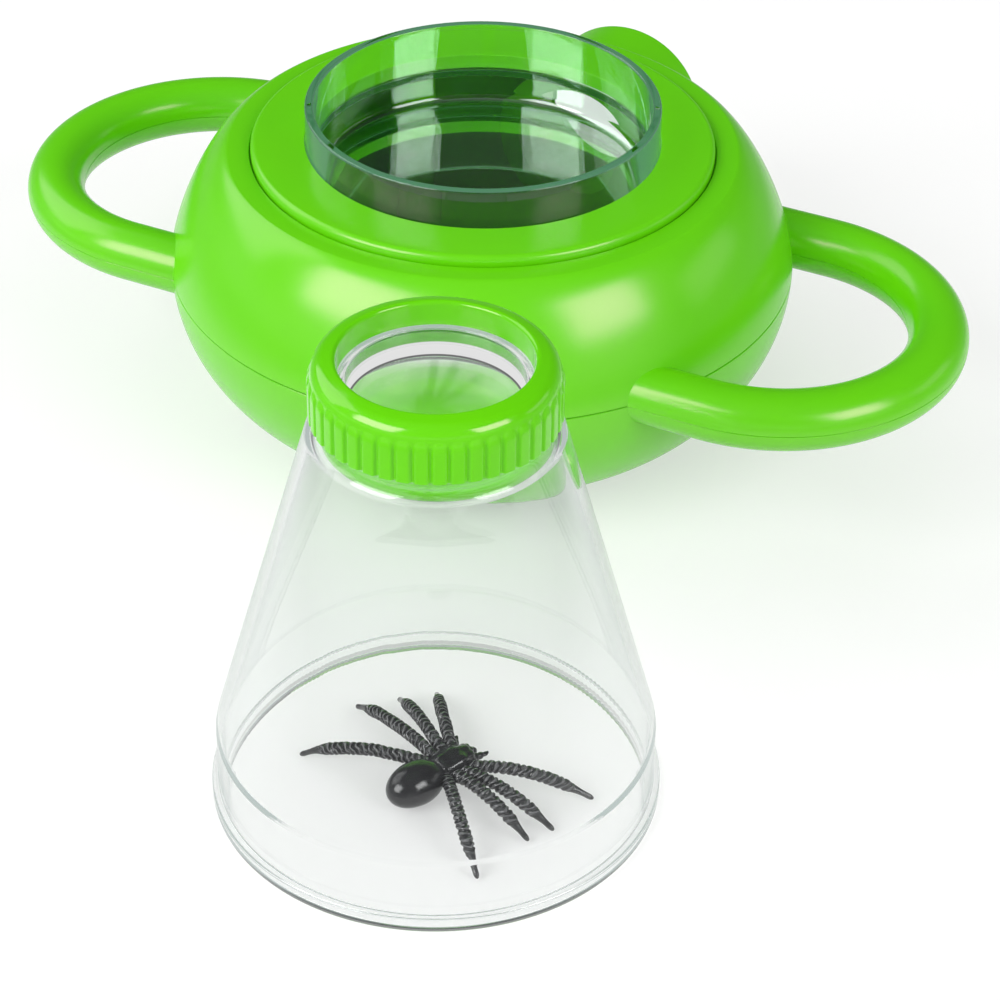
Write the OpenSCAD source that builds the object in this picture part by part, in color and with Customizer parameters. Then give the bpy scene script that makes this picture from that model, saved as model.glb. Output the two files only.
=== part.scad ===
// Two-way bug viewer set. A round station with two loop handles holds a clear
// dish, a slanted mirror and an eyepiece. A clear conical jar with a magnifier
// cap stands in front of it, over a moulded toy spider.
// Millimetres, +Z up. The origin is the middle of the station's flat foot,
// +X runs through one handle and +Y out through the eyepiece.

/* [Station body] */
// How far the body's widest place stands out past the flat top's edge
shoulder_w = 11; // [10:0.5:14]
// Height of the seam, which the handles and the eyepiece are centred on
seam_z = 30; // [28:0.5:33]
// Height of the flat top of the upper shell
top_z = 51.5; // [50:0.5:56]
// Width of the flat land between the seat ring and the shoulder
top_land = 3.6; // [2:0.2:5]
// Radius of the flat foot
foot_r = 24; // [22:0.5:28]
// Wall of both shells
shell_wall = 2.2; // [1.8:0.1:2.8]
// Fullness of the shoulder, where 1 is a straight cone and 2 an ellipse
shoulder_fullness = 1.4; // [1.2:0.05:2]
// Fullness of the bowl, where 1 is a straight cone and 2 an ellipse
bowl_fullness = 2; // [1.7:0.05:2.4]
// Bevel of the seam's outer edges
seam_bevel = 0.3; // [0.1:0.05:0.6]

/* [Handles] */
// Radius of the handle's tube
handle_r = 5.25; // [4.5:0.05:6.5]
// Radius of the loop, to the middle of the tube
loop_r = 29.2; // [26:0.2:32]
// How far a handle reaches out past the body
loop_l = 34.45; // [30:0.05:44]

/* [Seat ring] */
// Width of the seat ring, from the dish to its outer edge
ring_w = 9.55; // [9:0.05:12]
// Height of the ring above the flat top
ring_rise = 1.7; // [1:0.1:3]
// Thickness of the ring
ring_t = 2.6; // [2:0.1:4]
// Rounding of the ring's outer top edge
ring_round = 1.1; // [0.4:0.1:1.4]
// Groove left round the ring
ring_gap = 0.4; // [0.2:0.05:0.8]
// Width of the ledge that the ring lies on
ledge_w = 4; // [3:0.2:5]

/* [Viewing dish] */
// Outer radius of the clear dish
dish_r = 31.3; // [28:0.1:32]
// Height of the dish's rim above the seat ring
dish_rise = 6.8; // [4:0.2:10]
// Depth of the dish inside
dish_depth = 15.4; // [12:0.2:18]
// Wall and floor of the dish
dish_wall = 1.6; // [1.2:0.1:2.2]
// Width of the flange that holds the dish under the ring
dish_flange_w = 3.6; // [2.4:0.2:4]
// Inside rounding where the dish's wall meets its floor
dish_round = 1.5; // [0.5:0.1:3]

/* [Mirror] */
// Width of the mirror
mirror_w = 38; // [30:1:40]
// Thickness of the mirror
mirror_t = 1.8; // [1:0.1:3]
// Thickness of the carrier's plate and cheeks
carrier_t = 2; // [1.4:0.1:2.4]
// Half the length of the carrier's foot along Y
carrier_foot = 9; // [6:0.5:10]
// Height of the cheeks' lips over the mirror's face
carrier_lip = 0.8; // [0.4:0.1:1.6]

/* [Eyepiece] */
// Outer radius of the eyepiece tube
eye_r = 15.4; // [14.4:0.1:16]
// Radius of the sight bore through the tube
eye_bore = 12.5; // [11:0.1:13]
// How far the tube stands out past the body's widest radius
eye_reach = 8.8; // [6:0.2:12]
// Depth of the lens seat below the tube's outer end
eye_seat = 6.4; // [5.4:0.1:8]
// Rounding of the tube's outer end
eye_round = 1.2; // [0.4:0.1:1.2]
// Edge thickness of the eyepiece lens
eye_lens_edge = 1.2; // [0.8:0.1:1.8]
// Rise of each face of the eyepiece lens
eye_lens_sag = 1.6; // [1:0.1:2.4]
// Height of the ring that keeps the lens in
eye_ring_h = 2; // [1.2:0.1:2.4]

/* [Screws] */
// Number of screws that join the shells
screw_count = 4; // [4:4:4]
// Radius of a screw's shank
screw_r = 1.5; // [1.2:0.1:1.8]
// Radius of a screw's head
screw_head_r = 3; // [2.6:0.1:3.2]
// Height of a screw's head
screw_head_h = 2; // [1.4:0.1:2.2]
// Length of a screw below its head
screw_l = 14; // [12:1:16]
// Height of the seat that a head pulls against
screw_seat_z = 10; // [9:0.5:11]
// Height at which the upper bosses stand on the lower posts
post_z = 18; // [16:0.5:20]
// Wall round a screw or its head
post_wall = 1.5; // [1.2:0.1:1.8]

/* [Jar] */
// Place of the jar's axis beside the station, along X
jar_x = 42.5; // [30:0.5:60]
// Place of the jar's axis in front of the station, along Y
jar_y = -102; // [-120:1:-101]
// Gap between the dish and the jar's skirt when the jar is put over it
jar_slack = 1.1; // [0.6:0.1:2]
// Width of the foot flange outside the skirt
flange_w = 1; // [0.6:0.1:3]
// Thickness of the foot flange
flange_t = 2.8; // [2:0.1:4]
// Height at which the skirt ends and the cone starts
skirt_z = 12.8; // [10:0.2:16]
// Step in radius from the skirt to the cone
cone_step = 0.3; // [0.2:0.1:1]
// Radius of the cone at the shoulder
shoulder_r = 19; // [18.6:0.1:20.4]
// Height of the shoulder that the cap closes down to
shoulder_z = 68.3; // [60:0.5:76]
// Rounding of the shoulder
shoulder_round = 1.6; // [0.8:0.1:2]
// Wall of the jar
jar_wall = 1.6; // [1.2:0.1:2]
// Outer radius of the neck
neck_r = 15.6; // [15.2:0.1:15.8]
// Height of the neck above the shoulder
neck_h = 6; // [5.4:0.1:7]

/* [Cap] */
// Outer radius of the cap's ribbed band
cap_r = 18.5; // [18.2:0.1:19.4]
// Number of ribs round the band
rib_count = 44; // [36:2:50]
// Radius of the grooves between the ribs
rib_groove_r = 0.42; // [0.3:0.02:0.55]
// Gap between the jar's shoulder and the cap's foot
cap_lift = 1.3; // [0.8:0.1:1.6]
// Thickness of the cap's roof, from the lens cup to the ribbed band's top
roof_t = 1.3; // [1:0.1:1.6]
// Radius of the window in the cap's top
window_r = 14.3; // [13.8:0.1:14.6]
// Height of the rim's crest above the ribbed band
rim_rise = 2.6; // [2.2:0.1:3]
// Rounding of the rim's crest beside the window
crest_round = 0.6; // [0.4:0.1:0.9]
// Rounding where the rim turns down to the band
rim_round = 1.6; // [1.2:0.1:1.8]
// Width of the ledge between the rim and the band's outside
rim_ledge = 1.1; // [0.8:0.1:1.4]
// Rounding of the band's top edge
band_round = 0.6; // [0.3:0.1:0.8]
// Depth of the lens below the top of its sleeve
lens_depth = 4.7; // [4:0.1:5.2]
// Thickness of the lens sleeve
sleeve_wall = 0.9; // [0.7:0.1:1]
// Thickness of the flange that the sleeve hangs by
sleeve_flange = 0.9; // [0.6:0.1:1.2]
// Edge thickness of the cap's lens
lens_edge = 1.4; // [1:0.1:1.6]
// Rise of each face of the cap's lens
lens_sag = 1.3; // [0.8:0.1:2]

/* [Toy spider] */
// Place of the spider's middle beside the jar's axis, along X
spider_x = 2.5; // [-4:0.5:4]
// Place of the spider's middle before the jar's axis, along Y
spider_y = 0.5; // [-3:0.5:3]
// Turn of the spider, where 0 looks along +Y
spider_turn = -25; // [-180:5:180]
// Reach of the longest leg from its root
leg_reach = 22; // [18:1:24]
// Radius of a leg at its thickest
leg_r = 1.05; // [0.8:0.05:1.3]
// Radius of a leg at its tip
leg_tip_r = 0.5; // [0.3:0.05:0.6]
// Height of the knees
knee_z = 5.2; // [4:0.2:7]
// Length of the abdomen
abdomen_l = 9.5; // [8:0.5:12]
// Thickness of the abdomen
abdomen_d = 7.5; // [6:0.5:9]
// Length of the front part of the body
head_l = 8.4; // [7:0.2:10]
// Thickness of the front part of the body
head_d = 5.2; // [4:0.2:6]

/* [Hidden] */
$fn = 96;
// Overrun of every cut past the face that it opens
cut = 1;
// Clearance between pieces that drop into each other
fit = 0.15;
// Gap left where pieces may not touch
air = 0.8;
curve_steps = 14;
round_steps = 6;

// Levels of the station, from the foot to the dish's rim
floor_z = shell_wall;
ring_r = dish_r + fit + ring_w;
ledge_z = top_z + ring_rise - ring_t;
roof_z = ledge_z - shell_wall;
ring_top = top_z + ring_rise;
dish_rim = ring_top + dish_rise;
dish_floor = dish_rim - dish_depth;
dish_under = dish_floor - dish_wall;
top_r = ring_r + ring_gap + top_land;
body_r = top_r + shoulder_w;
roof_share = 0.6;
roof_r = top_r - shell_wall * roof_share;
mouth_r = ring_r - ledge_w;

// The middle of a loop's arc, and the straight root from there into the shell
loop_x = body_r + loop_l - loop_r - handle_r;
root_l = loop_x - sqrt(pow(body_r - shell_wall, 2) - pow(loop_r + handle_r, 2)) + cut;

// The mirror stands at 45 degrees and fills the height below the dish
slope = 45;
mirror_drop = (mirror_t + carrier_t) * cos(slope);
mirror_rise = dish_under - floor_z - 2 * air - mirror_drop;
mirror_l = mirror_rise / sin(slope);
mirror_z = dish_under - air - mirror_rise / 2;

eye_end = body_r + eye_reach;
eye_flange_w = 1.2;
eye_flange_t = 1.5;
eye_in = roof_r - eye_flange_t - air;
eye_seat_y = eye_end - eye_seat;
// Width of the ledge that the lens lies on, and of the flat rim of the lens
eye_ledge_w = 0.9;
eye_rim_w = 1.4;
eye_lens_r = eye_bore + eye_ledge_w;
// Turns the start line of the hole's round wall out of the seam plane
bore_turn = 45;

boss_r = screw_r + post_wall * 2;
post_r = screw_head_r + air / 2 + post_wall;
screw_ring = mouth_r + boss_r + air;
screw_turn = 45;

skirt_r = dish_r + jar_slack + jar_wall;
flange_r = skirt_r + flange_w;
cone_r = skirt_r - cone_step;
neck_bore = neck_r - jar_wall + fit;
neck_top = shoulder_z + neck_h;
cap_foot = shoulder_z + cap_lift;
cap_roof = neck_top + sleeve_flange;
cap_bore = neck_r + air;
band_top = cap_roof + roof_t;
// Middles of the two roundings of the rim, and the angle at which a straight slope touches both
crest_x = window_r + crest_round;
crest_z = band_top + rim_rise - crest_round;
rim_x = cap_r - rim_ledge - rim_round;
rim_reach = norm([crest_x - rim_x, crest_z - band_top]);
rim_tip = atan2(crest_z - band_top, crest_x - rim_x) - acos((rim_round - crest_round) / rim_reach);
sleeve_r = neck_bore - fit;
lens_top = cap_roof - lens_depth;

leg_root_z = 3.4;
leg_sides = 8;
leg_rings = 12;
leg_root_x = 1.9;
leg_root_pitch = 1.4;
leg_root_back = 1.8;
leg_bow = 0.5;
legs_a_side = 4;
// Heading of each leg in degrees from +X, left ones first, back to front
leg_headings = [215, 180, 165, 150, -25, 5, 15, 40];
// Share of leg_reach that each leg has
leg_shares = [1, 1, 0.9, 0.85, 0.9, 0.75, 0.8, 0.9];

green = "#5ec813";
clear = "#c9d8d8";
black = "#2b2d30";

// A curve from [r0, z0], where it runs upright, to [r1, z1], where it runs
// level. A fullness of 2 makes a quarter of an ellipse.
function bulge(r0, z0, r1, z1, fullness) = [
    for (i = [0:curve_steps])
        let (t = 90 * i / curve_steps)
        [
            r1 + (r0 - r1) * pow(cos(t), 2 / fullness),
            z0 + (z1 - z0) * pow(sin(t), 2 / fullness)
        ]
];

// A quarter of a circle about [r, z], from one angle to another
function corner(r, z, radius, from, to) = [
    for (i = [0:round_steps])
        let (t = from + (to - from) * i / round_steps)
        [r + radius * cos(t), z + radius * sin(t)]
];

function backwards(list) = [for (i = [len(list) - 1:-1:0]) list[i]];

// The solid shape of the upper half of the body
module upper_form() {
    rotate_extrude()
        polygon(concat(
            [[0, seam_z], [body_r - seam_bevel, seam_z]],
            bulge(body_r, seam_z + seam_bevel, top_r, top_z, shoulder_fullness),
            [[0, top_z]]
        ));
}

// The solid shape of the lower half of the body
module lower_form() {
    rotate_extrude()
        polygon(concat(
            [[0, 0]],
            backwards(bulge(body_r, seam_z - seam_bevel, foot_r, 0, bowl_fullness)),
            [[body_r - seam_bevel, seam_z], [0, seam_z]]
        ));
}

// The hollow of the upper shell, with the mouth and the recess for the seat ring
module upper_cavity() {
    rotate_extrude()
        polygon(concat(
            [[0, seam_z - cut], [body_r - shell_wall, seam_z - cut]],
            bulge(body_r - shell_wall, seam_z, roof_r, roof_z, shoulder_fullness),
            [
                [mouth_r, roof_z],
                [mouth_r, ledge_z],
                [ring_r + ring_gap, ledge_z],
                [ring_r + ring_gap, top_z + cut],
                [0, top_z + cut]
            ]
        ));
}

module lower_cavity() {
    rotate_extrude()
        polygon(concat(
            [[0, floor_z]],
            backwards(bulge(body_r - shell_wall, seam_z, foot_r, floor_z, bowl_fullness)),
            [[body_r - shell_wall, seam_z + cut], [0, seam_z + cut]]
        ));
}

// Carries a section round a handle's loop and along its two straight roots
module loop_sweep() {
    translate([loop_x, 0, seam_z]) {
        rotate([0, 0, -90])
            rotate_extrude(angle = 180)
                translate([loop_r, 0])
                    children();
        for (side = [-1, 1])
            translate([0, side * loop_r, 0])
                rotate([90, 0, -90])
                    linear_extrude(root_l)
                        children();
    }
}

// The half of the tube's section above the seam, with beveled seam edges
module handle_section() {
    difference() {
        intersection() {
            circle(handle_r, $fn = 48);
            translate([-handle_r - cut, 0])
                square([2 * (handle_r + cut), handle_r + cut]);
        }
        for (side = [-1, 1])
            translate([side * handle_r, 0])
                rotate(45)
                    square(seam_bevel * sqrt(2), center = true);
    }
}

module handles(up) {
    for (side = [0, 1])
        mirror([side, 0, 0])
            loop_sweep()
                mirror([0, up ? 0 : 1])
                    handle_section();
}

// The hole that both shells leave for the eyepiece tube
module eyepiece_hole() {
    translate([0, eye_in - cut, seam_z])
        rotate([-90, 0, 0])
            rotate([0, 0, bore_turn])
                cylinder(r = eye_r + fit, h = eye_end);
}

module at_screws() {
    for (i = [0:screw_count - 1])
        rotate([0, 0, screw_turn + 360 * i / screw_count])
            translate([screw_ring, 0, 0])
                children();
}

module upper_shell() {
    color(green)
        difference() {
            union() {
                difference() {
                    union() {
                        upper_form();
                        handles(true);
                    }
                    upper_cavity();
                }
                at_screws()
                    translate([0, 0, post_z])
                        cylinder(r = boss_r, h = roof_z + shell_wall / 2 - post_z, $fn = 48);
            }
            eyepiece_hole();
            at_screws()
                translate([0, 0, post_z - cut])
                    cylinder(r = screw_r + fit, h = screw_seat_z + screw_l - post_z + 2 * cut, $fn = 32);
        }
}

module lower_shell() {
    color(green)
        difference() {
            union() {
                difference() {
                    union() {
                        lower_form();
                        handles(false);
                    }
                    lower_cavity();
                }
                intersection() {
                    lower_form();
                    at_screws()
                        cylinder(r = post_r, h = post_z, $fn = 48);
                }
            }
            eyepiece_hole();
            at_screws() {
                translate([0, 0, -cut])
                    cylinder(r = screw_head_r + air / 2, h = screw_seat_z + cut, $fn = 48);
                cylinder(r = screw_r + air / 2, h = post_z + cut, $fn = 32);
            }
        }
}

module seat_ring() {
    color(green)
        rotate_extrude()
            polygon(concat(
                [[dish_r + fit, ledge_z], [ring_r, ledge_z]],
                corner(ring_r - ring_round, ring_top - ring_round, ring_round, 0, 90),
                [[dish_r + fit, ring_top]]
            ));
}

module viewing_dish() {
    inner = dish_r - dish_wall;
    lip = dish_wall / 4;
    flange_top = ledge_z;
    flange_low = ledge_z - dish_wall;
    color(clear)
        rotate_extrude()
            polygon(concat(
                [[0, dish_under]],
                corner(dish_r - dish_round - dish_wall, dish_under + dish_round + dish_wall,
                    dish_round + dish_wall, -90, 0),
                [
                    [dish_r, flange_low],
                    [dish_r + dish_flange_w, flange_low],
                    [dish_r + dish_flange_w, flange_top],
                    [dish_r, flange_top]
                ],
                corner(dish_r - lip, dish_rim - lip, lip, 0, 90),
                corner(inner + lip, dish_rim - lip, lip, 90, 180),
                backwards(corner(inner - dish_round, dish_floor + dish_round, dish_round, -90, 0)),
                [[0, dish_floor]]
            ));
}

// Puts the mirror's face in the XY plane, with its lower end towards +Y
module on_slope() {
    translate([0, 0, mirror_z])
        rotate([-slope, 0, 0])
            children();
}

module mirror_plate() {
    color("#dfe6ea")
        on_slope()
            translate([-mirror_w / 2, -mirror_l / 2, -mirror_t])
                cube([mirror_w, mirror_l, mirror_t]);
}

module mirror_carrier() {
    outer = mirror_w / 2 + fit + carrier_t;
    back = mirror_t + carrier_t;
    color(green) {
        on_slope() {
            translate([-outer, -mirror_l / 2, -back])
                cube([2 * outer, mirror_l, carrier_t]);
            for (side = [-1, 1])
                translate([side * (outer - carrier_t / 2), 0, (carrier_lip - back) / 2])
                    cube([carrier_t, mirror_l, back + carrier_lip], center = true);
        }
        // Two legs from the sloping plate down to the shell's floor
        for (side = [-1, 1])
            translate([side * (outer - carrier_t / 2) - carrier_t / 2, 0, 0])
                rotate([90, 0, 90])
                    linear_extrude(carrier_t)
                        polygon([
                            [-carrier_foot, floor_z],
                            [carrier_foot, floor_z],
                            [carrier_foot, mirror_z - carrier_foot - mirror_t / cos(slope) - carrier_t],
                            [-carrier_foot, mirror_z + carrier_foot - mirror_t / cos(slope) - carrier_t]
                        ]);
    }
}

// Turns a piece made on the Z axis to the eyepiece's axis
module on_eyepiece(y) {
    translate([0, y, seam_z])
        rotate([-90, 0, 0])
            children();
}

module eyepiece_tube() {
    l = eye_end - eye_in;
    seat = l - eye_seat;
    color(green)
        on_eyepiece(eye_in)
            rotate_extrude()
                polygon(concat(
                    [
                        [eye_bore, 0],
                        [eye_r + eye_flange_w, 0],
                        [eye_r + eye_flange_w, eye_flange_t],
                        [eye_r, eye_flange_t]
                    ],
                    corner(eye_r - eye_round, l - eye_round, eye_round, 0, 90),
                    [[eye_lens_r + fit, l], [eye_lens_r + fit, seat], [eye_bore, seat]]
                ));
}

// A lens with two convex faces, its lower edge in the XY plane
module lens(r, edge, sag) {
    ball = (r * r + sag * sag) / (2 * sag);
    intersection() {
        translate([0, 0, -sag])
            cylinder(r = r, h = edge + 2 * sag);
        translate([0, 0, ball - sag])
            sphere(ball, $fn = 180);
        translate([0, 0, edge + sag - ball])
            sphere(ball, $fn = 180);
    }
}

module eyepiece_lens() {
    color(clear)
        on_eyepiece(eye_seat_y)
            union() {
                cylinder(r = eye_lens_r, h = eye_lens_edge);
                lens(eye_lens_r - eye_rim_w, eye_lens_edge, eye_lens_sag);
            }
}

module eyepiece_ring() {
    color(green)
        on_eyepiece(eye_seat_y + eye_lens_edge)
            difference() {
                cylinder(r = eye_lens_r, h = eye_ring_h);
                translate([0, 0, -cut])
                    cylinder(r = eye_lens_r - eye_rim_w, h = eye_ring_h + 2 * cut);
            }
}

module shell_screws() {
    slot = screw_r / 2;
    color("#b8bcc0")
        at_screws()
            difference() {
                union() {
                    translate([0, 0, screw_seat_z - screw_head_h])
                        cylinder(r = screw_head_r, h = screw_head_h, $fn = 48);
                    translate([0, 0, screw_seat_z])
                        cylinder(r = screw_r, h = screw_l, $fn = 32);
                }
                // Cross recess for the driver
                for (turn = [0, 90])
                    rotate([0, 0, turn])
                        translate([0, 0, screw_seat_z - screw_head_h])
                            cube([screw_head_r * 1.2, slot, screw_head_h], center = true);
            }
}

module jar_cone() {
    in = skirt_r - jar_wall;
    // Horizontal width of the cone's wall
    lean = atan((cone_r - shoulder_r) / (shoulder_z - skirt_z));
    side = jar_wall / cos(lean);
    edge = flange_t / 4;
    color(clear)
        translate([jar_x, jar_y, 0])
            rotate_extrude()
                polygon(concat(
                    [[in, 0], [flange_r - edge, 0]],
                    corner(flange_r - edge, edge, edge, -90, 0),
                    corner(flange_r - edge, flange_t - edge, edge, 0, 90),
                    [
                        [skirt_r, flange_t],
                        [skirt_r, skirt_z - cone_step],
                        [cone_r, skirt_z]
                    ],
                    corner(shoulder_r - shoulder_round, shoulder_z - shoulder_round,
                        shoulder_round, lean, 90),
                    [
                        [neck_r, shoulder_z],
                        [neck_r, neck_top],
                        [neck_bore, neck_top],
                        [neck_bore, shoulder_z - jar_wall],
                        [shoulder_r - side - shoulder_round, shoulder_z - jar_wall],
                        [shoulder_r - side, shoulder_z - jar_wall - shoulder_round],
                        [in - cone_step, skirt_z],
                        [in, skirt_z - cone_step]
                    ]
                ));
}

// The rim rises from the band's ledge over a rounding and a slope to its crest at the window
module cap_ring() {
    groove_h = band_top - 1.5 * band_round - cap_foot + cut;
    color(green)
        translate([jar_x, jar_y, 0])
            difference() {
                rotate_extrude()
                    polygon(concat(
                        [[cap_bore, cap_foot], [cap_r, cap_foot]],
                        corner(cap_r - band_round, band_top - band_round, band_round, 0, 90),
                        corner(rim_x, band_top, rim_round, 0, rim_tip),
                        corner(crest_x, crest_z, crest_round, rim_tip, 180),
                        [[window_r, cap_roof], [cap_bore, cap_roof]]
                    ));
                for (i = [0:rib_count - 1])
                    rotate([0, 0, 360 * i / rib_count])
                        translate([cap_r, 0, cap_foot - cut])
                            cylinder(r = rib_groove_r, h = groove_h, $fn = 16);
            }
}

module cap_lens() {
    color(clear)
        translate([jar_x, jar_y, 0])
            union() {
                difference() {
                    union() {
                        translate([0, 0, lens_top - lens_edge])
                            cylinder(r = sleeve_r, h = lens_depth + lens_edge);
                        translate([0, 0, neck_top])
                            cylinder(r = neck_r, h = sleeve_flange);
                    }
                    translate([0, 0, lens_top - lens_edge - cut])
                        cylinder(r = sleeve_r - sleeve_wall, h = lens_depth + lens_edge + 2 * cut);
                }
                translate([0, 0, lens_top - lens_edge])
                    lens(sleeve_r, lens_edge, lens_sag);
            }
}

// Middle line of leg k: a parabola through its root, its knee, which is bowed
// backwards from halfway, and its tip
function leg_point(k, s) =
    let (
        side = k < legs_a_side ? -1 : 1,
        root_y = (k % legs_a_side - leg_root_back) * leg_root_pitch,
        root = [side * leg_root_x, root_y, leg_root_z],
        way = [cos(leg_headings[k]), sin(leg_headings[k])] * leg_shares[k] * leg_reach,
        tip = [root.x + way.x, root.y + way.y, leg_tip_r],
        knee = [(root.x + tip.x) / 2, (root.y + tip.y) / 2 - leg_bow, knee_z],
        pull = 2 * knee - (root + tip) / 2
    )
    (1 - s) * (1 - s) * root + 2 * s * (1 - s) * pull + s * s * tip;

function leg_radius(s) = leg_tip_r + (leg_r - leg_tip_r) * sqrt(1 - s * s * s);

function unit(v) = v / norm(v);

// One ring of points round leg k at the share s of its length
function leg_ring(k, s) =
    let (
        step = 1 / leg_rings / 4,
        along = unit(leg_point(k, s + step) - leg_point(k, s - step)),
        side = unit(cross([0, 0, 1], along)),
        up = cross(along, side)
    )
    [
        for (j = [0:leg_sides - 1])
            let (t = 360 * j / leg_sides)
            leg_point(k, s) + leg_radius(s) * (cos(t) * side + sin(t) * up)
    ];

module leg(k) {
    points = [for (i = [0:leg_rings]) each leg_ring(k, i / leg_rings)];
    last = leg_rings * leg_sides;
    sides = [
        for (i = [0:leg_rings - 1])
            for (j = [0:leg_sides - 1])
                let (
                    a = i * leg_sides + j,
                    b = i * leg_sides + (j + 1) % leg_sides
                )
                each [[a, a + leg_sides, b], [b, a + leg_sides, b + leg_sides]]
    ];
    root_cap = [[for (j = [0:leg_sides - 1]) j]];
    tip_cap = [[for (j = [leg_sides - 1:-1:0]) last + j]];
    polyhedron(points, concat(sides, root_cap, tip_cap));
}

// An egg shape of length l and thickness d, lying along Y
module egg(l, d) {
    rotate([90, 0, 0])
        rotate_extrude($fn = 32)
            polygon([
                for (i = [0:curve_steps])
                    let (t = -90 + 180 * i / curve_steps)
                    [abs(cos(t)) * d / 2, sin(t) * l / 2]
            ]);
}

module toy_spider() {
    fang_r = head_d / 6;
    color(black)
        translate([jar_x + spider_x, jar_y + spider_y, 0])
            rotate([0, 0, spider_turn]) {
                translate([0, -head_l / 2 - abdomen_l / 3, abdomen_d / 2])
                    egg(abdomen_l, abdomen_d);
                translate([0, 0, leg_root_z])
                    egg(head_l, head_d);
                for (side = [-1, 1])
                    translate([side * fang_r * 1.5, head_l / 3, leg_root_z])
                        rotate([-80, 0, -side * 20])
                            cylinder(r1 = fang_r, r2 = fang_r / 2, h = head_l / 2, $fn = 16);
                for (k = [0:len(leg_headings) - 1])
                    leg(k);
            }
}

upper_shell();
lower_shell();
seat_ring();
viewing_dish();
mirror_plate();  // mirror
mirror_carrier();
eyepiece_tube();
eyepiece_lens();
eyepiece_ring();
shell_screws();
jar_cone();
cap_ring();
cap_lens();
toy_spider();
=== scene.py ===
# %% [markdown]
# # A two-way bug viewer and its jar
# The real thing is a moulded green station with two loop handles, a clear dish
# on top, a mirror inside and an eyepiece at the back. A clear conical jar with a
# magnifier in its screw cap stands in front of it, over a toy spider.
#
# A measured model of every part is loaded first. It fixes sizes and places. This
# lesson then makes the visible surfaces as smooth as a polished mould leaves
# them, and gives each part the plastic, metal or glass that it is made of.

# %% Load the measured parts
import math

import bmesh
import bpy
import numpy as np
from mathutils import Matrix, Vector


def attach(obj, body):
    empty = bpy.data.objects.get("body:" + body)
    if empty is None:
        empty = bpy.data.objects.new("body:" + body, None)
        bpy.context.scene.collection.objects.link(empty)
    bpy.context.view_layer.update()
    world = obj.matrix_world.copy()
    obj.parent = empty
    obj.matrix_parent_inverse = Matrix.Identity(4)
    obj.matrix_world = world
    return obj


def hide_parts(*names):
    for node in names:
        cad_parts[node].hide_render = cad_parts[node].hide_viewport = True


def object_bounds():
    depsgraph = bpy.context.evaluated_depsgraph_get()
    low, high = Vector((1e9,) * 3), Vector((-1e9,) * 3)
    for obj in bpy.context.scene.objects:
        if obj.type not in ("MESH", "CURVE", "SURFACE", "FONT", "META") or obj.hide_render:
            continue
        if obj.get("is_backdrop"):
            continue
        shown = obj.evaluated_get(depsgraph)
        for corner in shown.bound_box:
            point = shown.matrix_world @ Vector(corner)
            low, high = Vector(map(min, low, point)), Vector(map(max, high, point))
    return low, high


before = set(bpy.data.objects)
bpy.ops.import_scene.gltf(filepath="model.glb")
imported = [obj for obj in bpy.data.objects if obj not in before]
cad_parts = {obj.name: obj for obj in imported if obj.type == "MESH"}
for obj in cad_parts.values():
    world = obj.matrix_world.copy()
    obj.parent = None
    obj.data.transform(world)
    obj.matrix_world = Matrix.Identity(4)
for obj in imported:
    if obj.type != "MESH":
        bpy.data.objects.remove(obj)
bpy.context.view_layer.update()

# %% [markdown]
# ## The sizes
# Most are the measured model's own values in millimetres, a few of them rounded.
# These differ from it a little, for the picture: the groove at the seam and the gap
# round the ring are narrower, the jar's step is smaller and its shoulder slimmer
# and rounder, the cap's rim is one round dome, and the spider's legs are thinner
# and lower.
#
# The origin is the middle of the station's flat foot. The jar has an axis of its
# own beside it. SEAT_GAP keeps faces that rest on each other just apart.

# %% Sizes of the station, the jar and the cap
BODY_R, SEAM_Z, TOP_R, TOP_Z, FOOT_R, WALL = 56.0, 30.0, 45.0, 51.5, 24.0, 2.2
SHOULDER_FULLNESS, BOWL_FULLNESS = 1.4, 2.0
SEAM_GAP, SEAM_DEPTH, SEAM_BEVEL = 0.10, 0.35, 0.12
HANDLE_R, LOOP_R, LOOP_X = 5.25, 29.2, 56.0
HANDLE_GAP, HANDLE_DEPTH, HANDLE_BEVEL = 0.03, 0.12, 0.06
RING_R, RING_GAP, RING_TOP, LEDGE_Z, MOUTH_R = 41.0, 0.22, 53.2, 50.6, 37.0
DISH_R, DISH_WALL, DISH_RIM, DISH_FLOOR, DISH_FLANGE_W, FIT = 31.3, 1.6, 60.0, 44.6, 3.6, 0.15
EYE_R, EYE_BORE, EYE_IN, EYE_END, EYE_SEAT = 15.4, 12.5, 41.4, 64.8, 6.4
EYE_LENS_R, EYE_RIM_W, EYE_LENS_EDGE, EYE_LENS_SAG = 13.4, 1.4, 1.2, 1.6
EYE_FLANGE_W, EYE_FLANGE_T, EYE_SOCKET_R, EYE_HOLE_GAP = 1.2, 1.5, 13.55, 0.12
KEEPER_BORE, KEEPER_H, KEEPER_UP, EYE_LENS_UP = 12.0, 2, 1.21, 0.005
SCREW_RING, SCREW_R, SCREW_SEAT, BOSS_R = 42.3, 1.5, 10, 4.5
POST_Z, POST_R, POST_BORE, POST_NECK, POST_ROOT, DRILL_R = 18, 4.9, 3.4, 1.9, 0.7, 3.38
JAR_X, JAR_Y, JAR_WALL, JAR_STEP = 42.5, -102.0, 1.6, 0.12
SKIRT_R, SKIRT_Z, SHOULDER_R, SHOULDER_Z, FLANGE_W, FLANGE_T = 34.0, 12.8, 18.5, 68.3, 1, 2.8
NECK_R, NECK_TOP, NECK_WALL, SEAT_GAP = 15.6, 74.3, 1.45, 0.02
CAP_R, CAP_FOOT, BAND_TOP, CAP_ROOF, CAP_BORE, RIBS = 18.5, 69.6, 76.5, 75.2, 16.4, 44
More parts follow.
